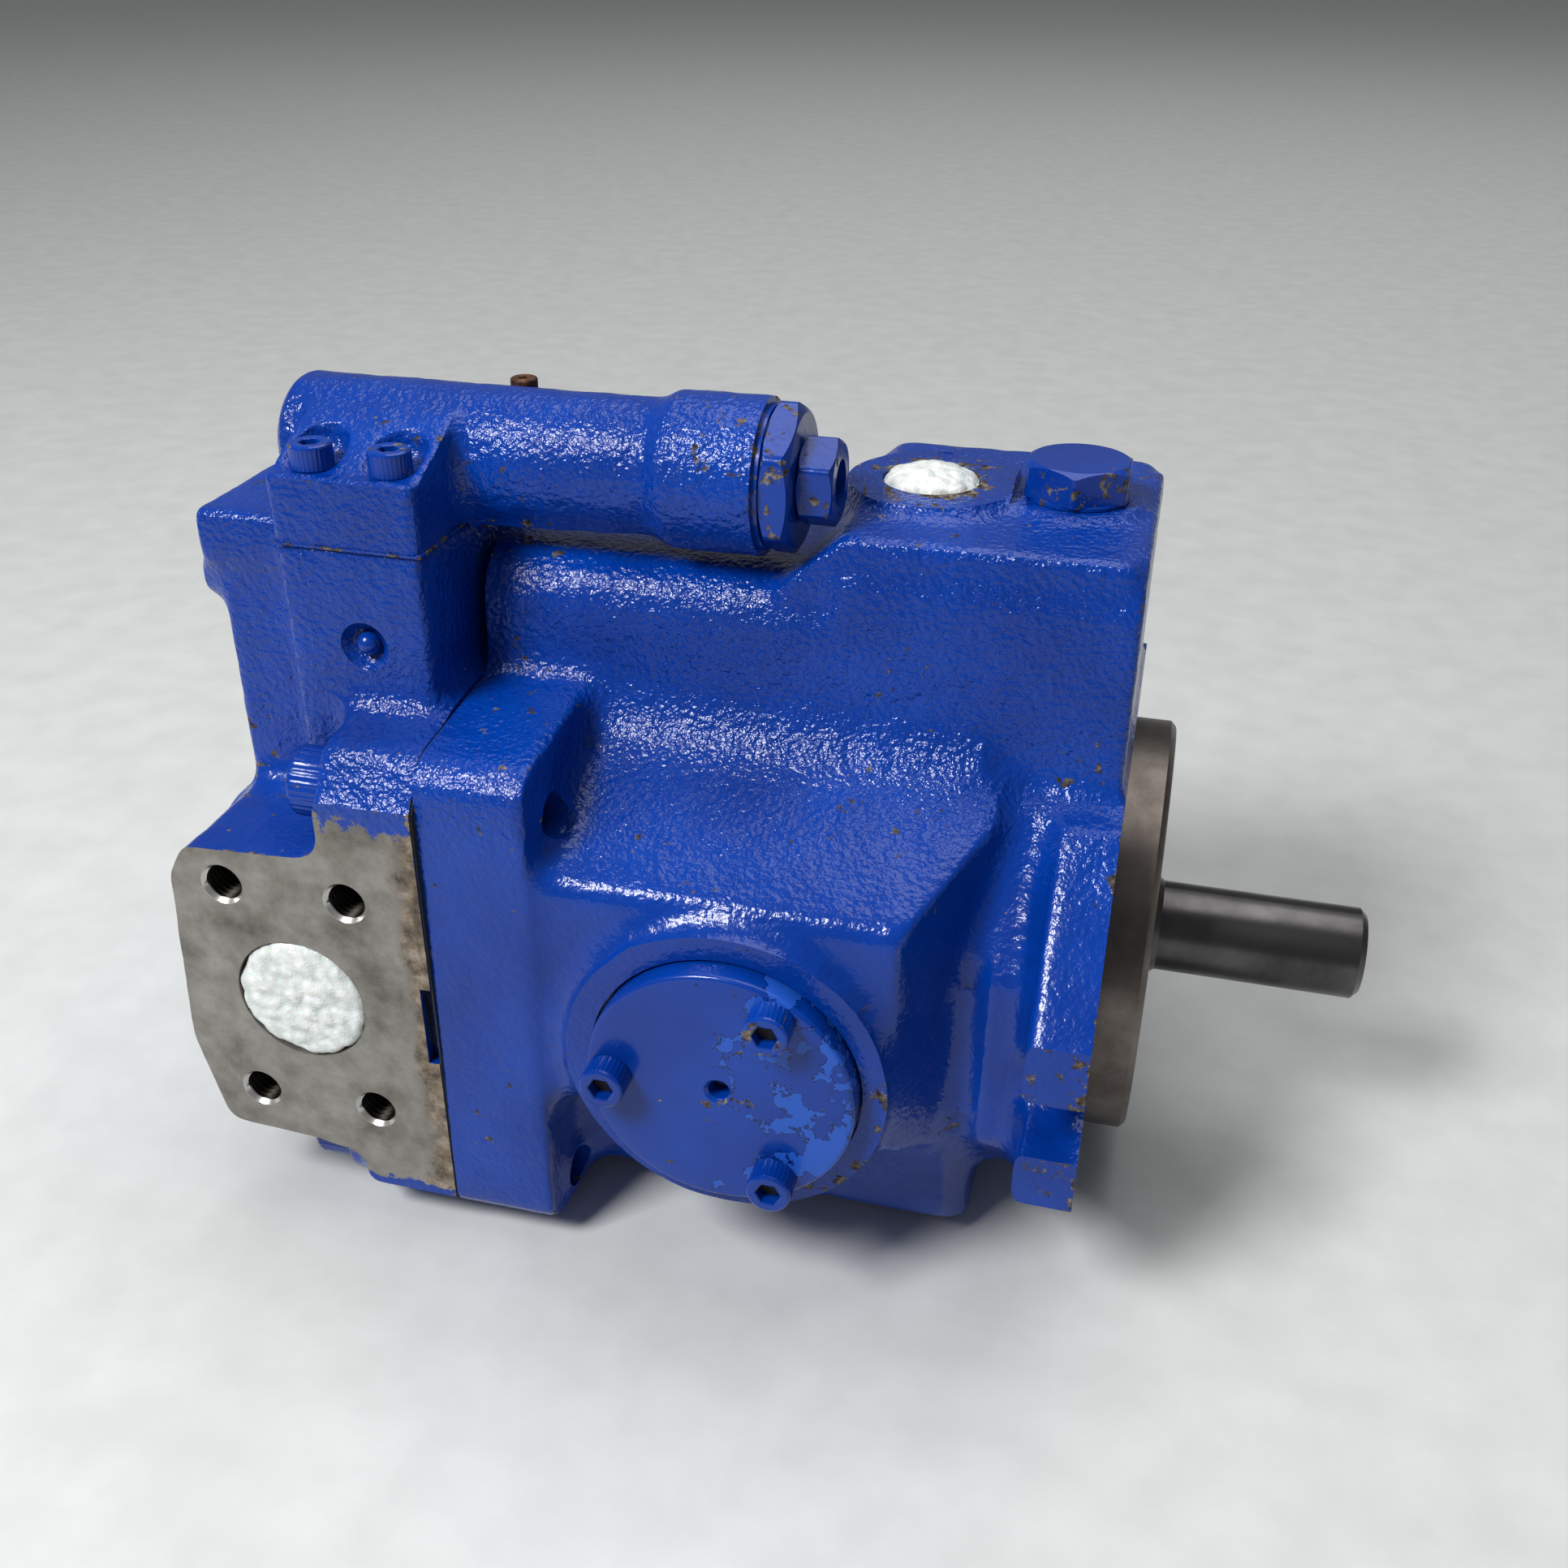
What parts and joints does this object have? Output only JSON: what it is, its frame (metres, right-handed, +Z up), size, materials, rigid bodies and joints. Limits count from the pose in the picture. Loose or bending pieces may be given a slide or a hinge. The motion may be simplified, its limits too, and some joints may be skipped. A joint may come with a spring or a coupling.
{
  "type": "axial piston pump",
  "caption": "Variable axial piston pump with a tilting yoke, pressure compensator, side ports, two-bolt pilot flange and a straight keyed shaft.",
  "frame": {"origin": "on the shaft axis at the mounting flange's face", "axes": "+X out along the drive shaft, +Z up, the suction port faces -Y"},
  "size_m": [0.2697, 0.19, 0.1954],
  "materials": {
    "blue_enamel": "thick glossy royal-blue enamel over sand-cast iron",
    "blue_enamel_machined": "glossy royal-blue enamel over machined steel",
    "port_steel": "bare machined iron, rust-stained",
    "pilot_steel": "satin dark turned steel",
    "shaft_steel": "satin ground and blued steel",
    "bearing_steel": "ground bearing steel",
    "machined_steel": "plain machined steel",
    "hardened_steel": "hardened and lapped steel",
    "spring_steel": "oil-tempered spring steel",
    "bronze": "machined bronze",
    "gasket_paper": "dark fibre gasket",
    "seal_rubber": "black nitrile rubber",
    "foam": "white beaded foam",
    "rusty_steel": "rusted bare steel"
  },
  "bodies": {
    "case": {"housing": "blue_enamel", "port_block": "blue_enamel", "joint_gasket": "gasket_paper", "passage_ball": "blue_enamel_machined", "housing_bolts": "blue_enamel_machined", "front_bearing_outer_ring": "bearing_steel", "bearing_retaining_ring": "spring_steel", "seal_carrier": "machined_steel", "carrier_retaining_ring": "spring_steel", "shaft_seal": "seal_rubber", "rear_needle_bearing": "bearing_steel", "valve_plate": "bronze", "valve_plate_pin": "hardened_steel", "trunnion_bearing_rings": "bearing_steel", "trunnion_bearing_rollers": "bearing_steel", "trunnion_cover_front": "blue_enamel_machined", "trunnion_cover_back": "blue_enamel_machined", "trunnion_cover_screws": "blue_enamel_machined", "bias_spring": "spring_steel", "valve_body": "blue_enamel", "valve_screws": "blue_enamel_machined", "valve_spring": "spring_steel", "valve_cap": "blue_enamel_machined", "orifice_plug": "rusty_steel", "hex_plug": "blue_enamel_machined"},
    "shaft": {"drive_shaft": "shaft_steel", "front_bearing_inner_ring": "bearing_steel", "front_bearing_balls": "bearing_steel", "cylinder_barrel": "hardened_steel", "retainer_ball": "hardened_steel"},
    "yoke": {"yoke": "machined_steel", "wear_plate": "bronze"},
    "retainer": {"retainer_plate": "hardened_steel"},
    "control_piston": {"control_piston": "hardened_steel"},
    "bias_spring_guide": {"bias_spring_guide": "machined_steel"},
    "valve_spool": {"valve_spool": "hardened_steel"},
    "valve_spring_seat": {"valve_spring_seat": "machined_steel"},
    "adjusting_screw": {"adjusting_screw": "blue_enamel_machined"},
    "lock_nut": {"lock_nut": "blue_enamel_machined"},
    "suction_foam": {"suction_foam": "foam"},
    "drain_foam": {"drain_foam": "foam"},
    "shoe_1": {"shoe_1": "bronze"},
    "piston_1": {"piston_1": "hardened_steel"},
    "shoe_2": {"shoe_2": "bronze"},
    "piston_2": {"piston_2": "hardened_steel"},
    "shoe_3": {"shoe_3": "bronze"},
    "piston_3": {"piston_3": "hardened_steel"},
    "shoe_4": {"shoe_4": "bronze"},
    "piston_4": {"piston_4": "hardened_steel"},
    "shoe_5": {"shoe_5": "bronze"},
    "piston_5": {"piston_5": "hardened_steel"},
    "shoe_6": {"shoe_6": "bronze"},
    "piston_6": {"piston_6": "hardened_steel"},
    "shoe_7": {"shoe_7": "bronze"},
    "piston_7": {"piston_7": "hardened_steel"},
    "shoe_8": {"shoe_8": "bronze"},
    "piston_8": {"piston_8": "hardened_steel"},
    "shoe_9": {"shoe_9": "bronze"},
    "piston_9": {"piston_9": "hardened_steel"}
  },
  "joints": [
    {"name": "shaft_spin", "type": "hinge", "parent": "case", "child": "shaft", "pos_m": [0, 0, 0], "axis": [1, 0, 0], "continuous": true},
    {"name": "yoke_tilt", "type": "hinge", "parent": "case", "child": "yoke", "pos_m": [-0.0765, 0, 0], "axis": [0, 1, 0], "range_deg": [0, 15], "stiffness_Nm_per_rad": 20, "springref_deg": -11.46, "deforming": ["bias_spring"]},
    {"name": "retainer_spin", "type": "hinge", "parent": "yoke", "child": "retainer", "pos_m": [-0.0765, 0, 0], "axis": [0.9659, 0, 0.2588], "continuous": true},
    {"name": "shoe_1_turn", "type": "hinge", "parent": "retainer", "child": "shoe_1", "pos_m": [-0.0765, 0.03255, 0], "axis": [0.9659, 0, 0.2588], "continuous": true},
    {"name": "piston_1_swivel", "type": "hinge", "parent": "shoe_1", "child": "piston_1", "pos_m": [-0.0765, 0.03255, 0], "axis": [0, 1, 0], "range_deg": [-15.5, 0.5]},
    {"name": "shoe_2_turn", "type": "hinge", "parent": "retainer", "child": "shoe_2", "pos_m": [-0.08192, 0.02494, 0.02021], "axis": [0.9659, 0, 0.2588], "continuous": true},
    {"name": "piston_2_swivel", "type": "hinge", "parent": "shoe_2", "child": "piston_2", "pos_m": [-0.08192, 0.02494, 0.02021], "axis": [0, 1, 0], "range_deg": [-15.5, 0.5]},
    {"name": "shoe_3_turn", "type": "hinge", "parent": "retainer", "child": "shoe_3", "pos_m": [-0.0848, 0.00565, 0.03097], "axis": [0.9659, 0, 0.2588], "continuous": true},
    {"name": "piston_3_swivel", "type": "hinge", "parent": "shoe_3", "child": "piston_3", "pos_m": [-0.0848, 0.00565, 0.03097], "axis": [0, 1, 0], "range_deg": [-15.5, 0.5]},
    {"name": "shoe_4_turn", "type": "hinge", "parent": "retainer", "child": "shoe_4", "pos_m": [-0.0838, -0.01628, 0.02723], "axis": [0.9659, 0, 0.2588], "continuous": true},
    {"name": "piston_4_swivel", "type": "hinge", "parent": "shoe_4", "child": "piston_4", "pos_m": [-0.0838, -0.01628, 0.02723], "axis": [0, 1, 0], "range_deg": [-15.5, 0.5]},
    {"name": "shoe_5_turn", "type": "hinge", "parent": "retainer", "child": "shoe_5", "pos_m": [-0.07938, -0.03059, 0.01075], "axis": [0.9659, 0, 0.2588], "continuous": true},
    {"name": "piston_5_swivel", "type": "hinge", "parent": "shoe_5", "child": "piston_5", "pos_m": [-0.07938, -0.03059, 0.01075], "axis": [0, 1, 0], "range_deg": [-15.5, 0.5]},
    {"name": "shoe_6_turn", "type": "hinge", "parent": "retainer", "child": "shoe_6", "pos_m": [-0.07362, -0.03059, -0.01075], "axis": [0.9659, 0, 0.2588], "continuous": true},
    {"name": "piston_6_swivel", "type": "hinge", "parent": "shoe_6", "child": "piston_6", "pos_m": [-0.07362, -0.03059, -0.01075], "axis": [0, 1, 0], "range_deg": [-15.5, 0.5]},
    {"name": "shoe_7_turn", "type": "hinge", "parent": "retainer", "child": "shoe_7", "pos_m": [-0.0692, -0.01628, -0.02723], "axis": [0.9659, 0, 0.2588], "continuous": true},
    {"name": "piston_7_swivel", "type": "hinge", "parent": "shoe_7", "child": "piston_7", "pos_m": [-0.0692, -0.01628, -0.02723], "axis": [0, 1, 0], "range_deg": [-15.5, 0.5]},
    {"name": "shoe_8_turn", "type": "hinge", "parent": "retainer", "child": "shoe_8", "pos_m": [-0.0682, 0.00565, -0.03097], "axis": [0.9659, 0, 0.2588], "continuous": true},
    {"name": "piston_8_swivel", "type": "hinge", "parent": "shoe_8", "child": "piston_8", "pos_m": [-0.0682, 0.00565, -0.03097], "axis": [0, 1, 0], "range_deg": [-15.5, 0.5]},
    {"name": "shoe_9_turn", "type": "hinge", "parent": "retainer", "child": "shoe_9", "pos_m": [-0.07108, 0.02494, -0.02021], "axis": [0.9659, 0, 0.2588], "continuous": true},
    {"name": "piston_9_swivel", "type": "hinge", "parent": "shoe_9", "child": "piston_9", "pos_m": [-0.07108, 0.02494, -0.02021], "axis": [0, 1, 0], "range_deg": [-15.5, 0.5]},
    {"name": "control_piston_slide", "type": "slide", "parent": "case", "child": "control_piston", "axis": [1, 0, 0], "range_m": [-0.0002, 0.01996]},
    {"name": "bias_guide_slide", "type": "slide", "parent": "case", "child": "bias_spring_guide", "axis": [1, 0, 0], "range_m": [-0.0002, 0.01895]},
    {"name": "valve_spool_shift", "type": "slide", "parent": "case", "child": "valve_spool", "axis": [1, 0, 0], "range_m": [0, 0.003], "stiffness_N_per_m": 2000, "springref_m": -0.001, "deforming": ["valve_spring"]},
    {"name": "adjusting_screw_turn", "type": "hinge", "parent": "valve_spring_seat", "child": "adjusting_screw", "pos_m": [-0.08, -0.0265, 0.1156], "axis": [1, 0, 0], "range_deg": [0, 720]},
    {"name": "spring_seat_advance", "type": "slide", "parent": "case", "child": "valve_spring_seat", "axis": [1, 0, 0], "range_m": [-0.0031, 0.0001]},
    {"name": "lock_nut_turn", "type": "hinge", "parent": "case", "child": "lock_nut", "pos_m": [-0.07, -0.0265, 0.1156], "axis": [1, 0, 0], "range_deg": [0, 360]},
    {"name": "suction_foam_pull", "type": "slide", "parent": "case", "child": "suction_foam", "axis": [0, -1, 0], "range_m": [0, 0.04]},
    {"name": "drain_foam_pull", "type": "slide", "parent": "case", "child": "drain_foam", "axis": [0, 0, 1], "range_m": [0, 0.03]}
  ],
  "couplings": [
    {"joint": "retainer_spin", "follows": "shaft_spin", "ratio": 1},
    {"joint": "shoe_1_turn", "follows": "shaft_spin", "ratio": -1},
    {"joint": "piston_1_swivel", "follows": "yoke_tilt", "ratio": -1},
    {"joint": "shoe_2_turn", "follows": "shaft_spin", "ratio": -1},
    {"joint": "piston_2_swivel", "follows": "yoke_tilt", "ratio": -1},
    {"joint": "shoe_3_turn", "follows": "shaft_spin", "ratio": -1},
    {"joint": "piston_3_swivel", "follows": "yoke_tilt", "ratio": -1},
    {"joint": "shoe_4_turn", "follows": "shaft_spin", "ratio": -1},
    {"joint": "piston_4_swivel", "follows": "yoke_tilt", "ratio": -1},
    {"joint": "shoe_5_turn", "follows": "shaft_spin", "ratio": -1},
    {"joint": "piston_5_swivel", "follows": "yoke_tilt", "ratio": -1},
    {"joint": "shoe_6_turn", "follows": "shaft_spin", "ratio": -1},
    {"joint": "piston_6_swivel", "follows": "yoke_tilt", "ratio": -1},
    {"joint": "shoe_7_turn", "follows": "shaft_spin", "ratio": -1},
    {"joint": "piston_7_swivel", "follows": "yoke_tilt", "ratio": -1},
    {"joint": "shoe_8_turn", "follows": "shaft_spin", "ratio": -1},
    {"joint": "piston_8_swivel", "follows": "yoke_tilt", "ratio": -1},
    {"joint": "shoe_9_turn", "follows": "shaft_spin", "ratio": -1},
    {"joint": "piston_9_swivel", "follows": "yoke_tilt", "ratio": -1},
    {"joint": "control_piston_slide", "follows": "yoke_tilt", "m_per_rad": 0.075483},
    {"joint": "bias_guide_slide", "follows": "yoke_tilt", "m_per_rad": 0.07163},
    {"joint": "spring_seat_advance", "follows": "adjusting_screw_turn", "m_per_rad": -0.00023873}
  ]
}
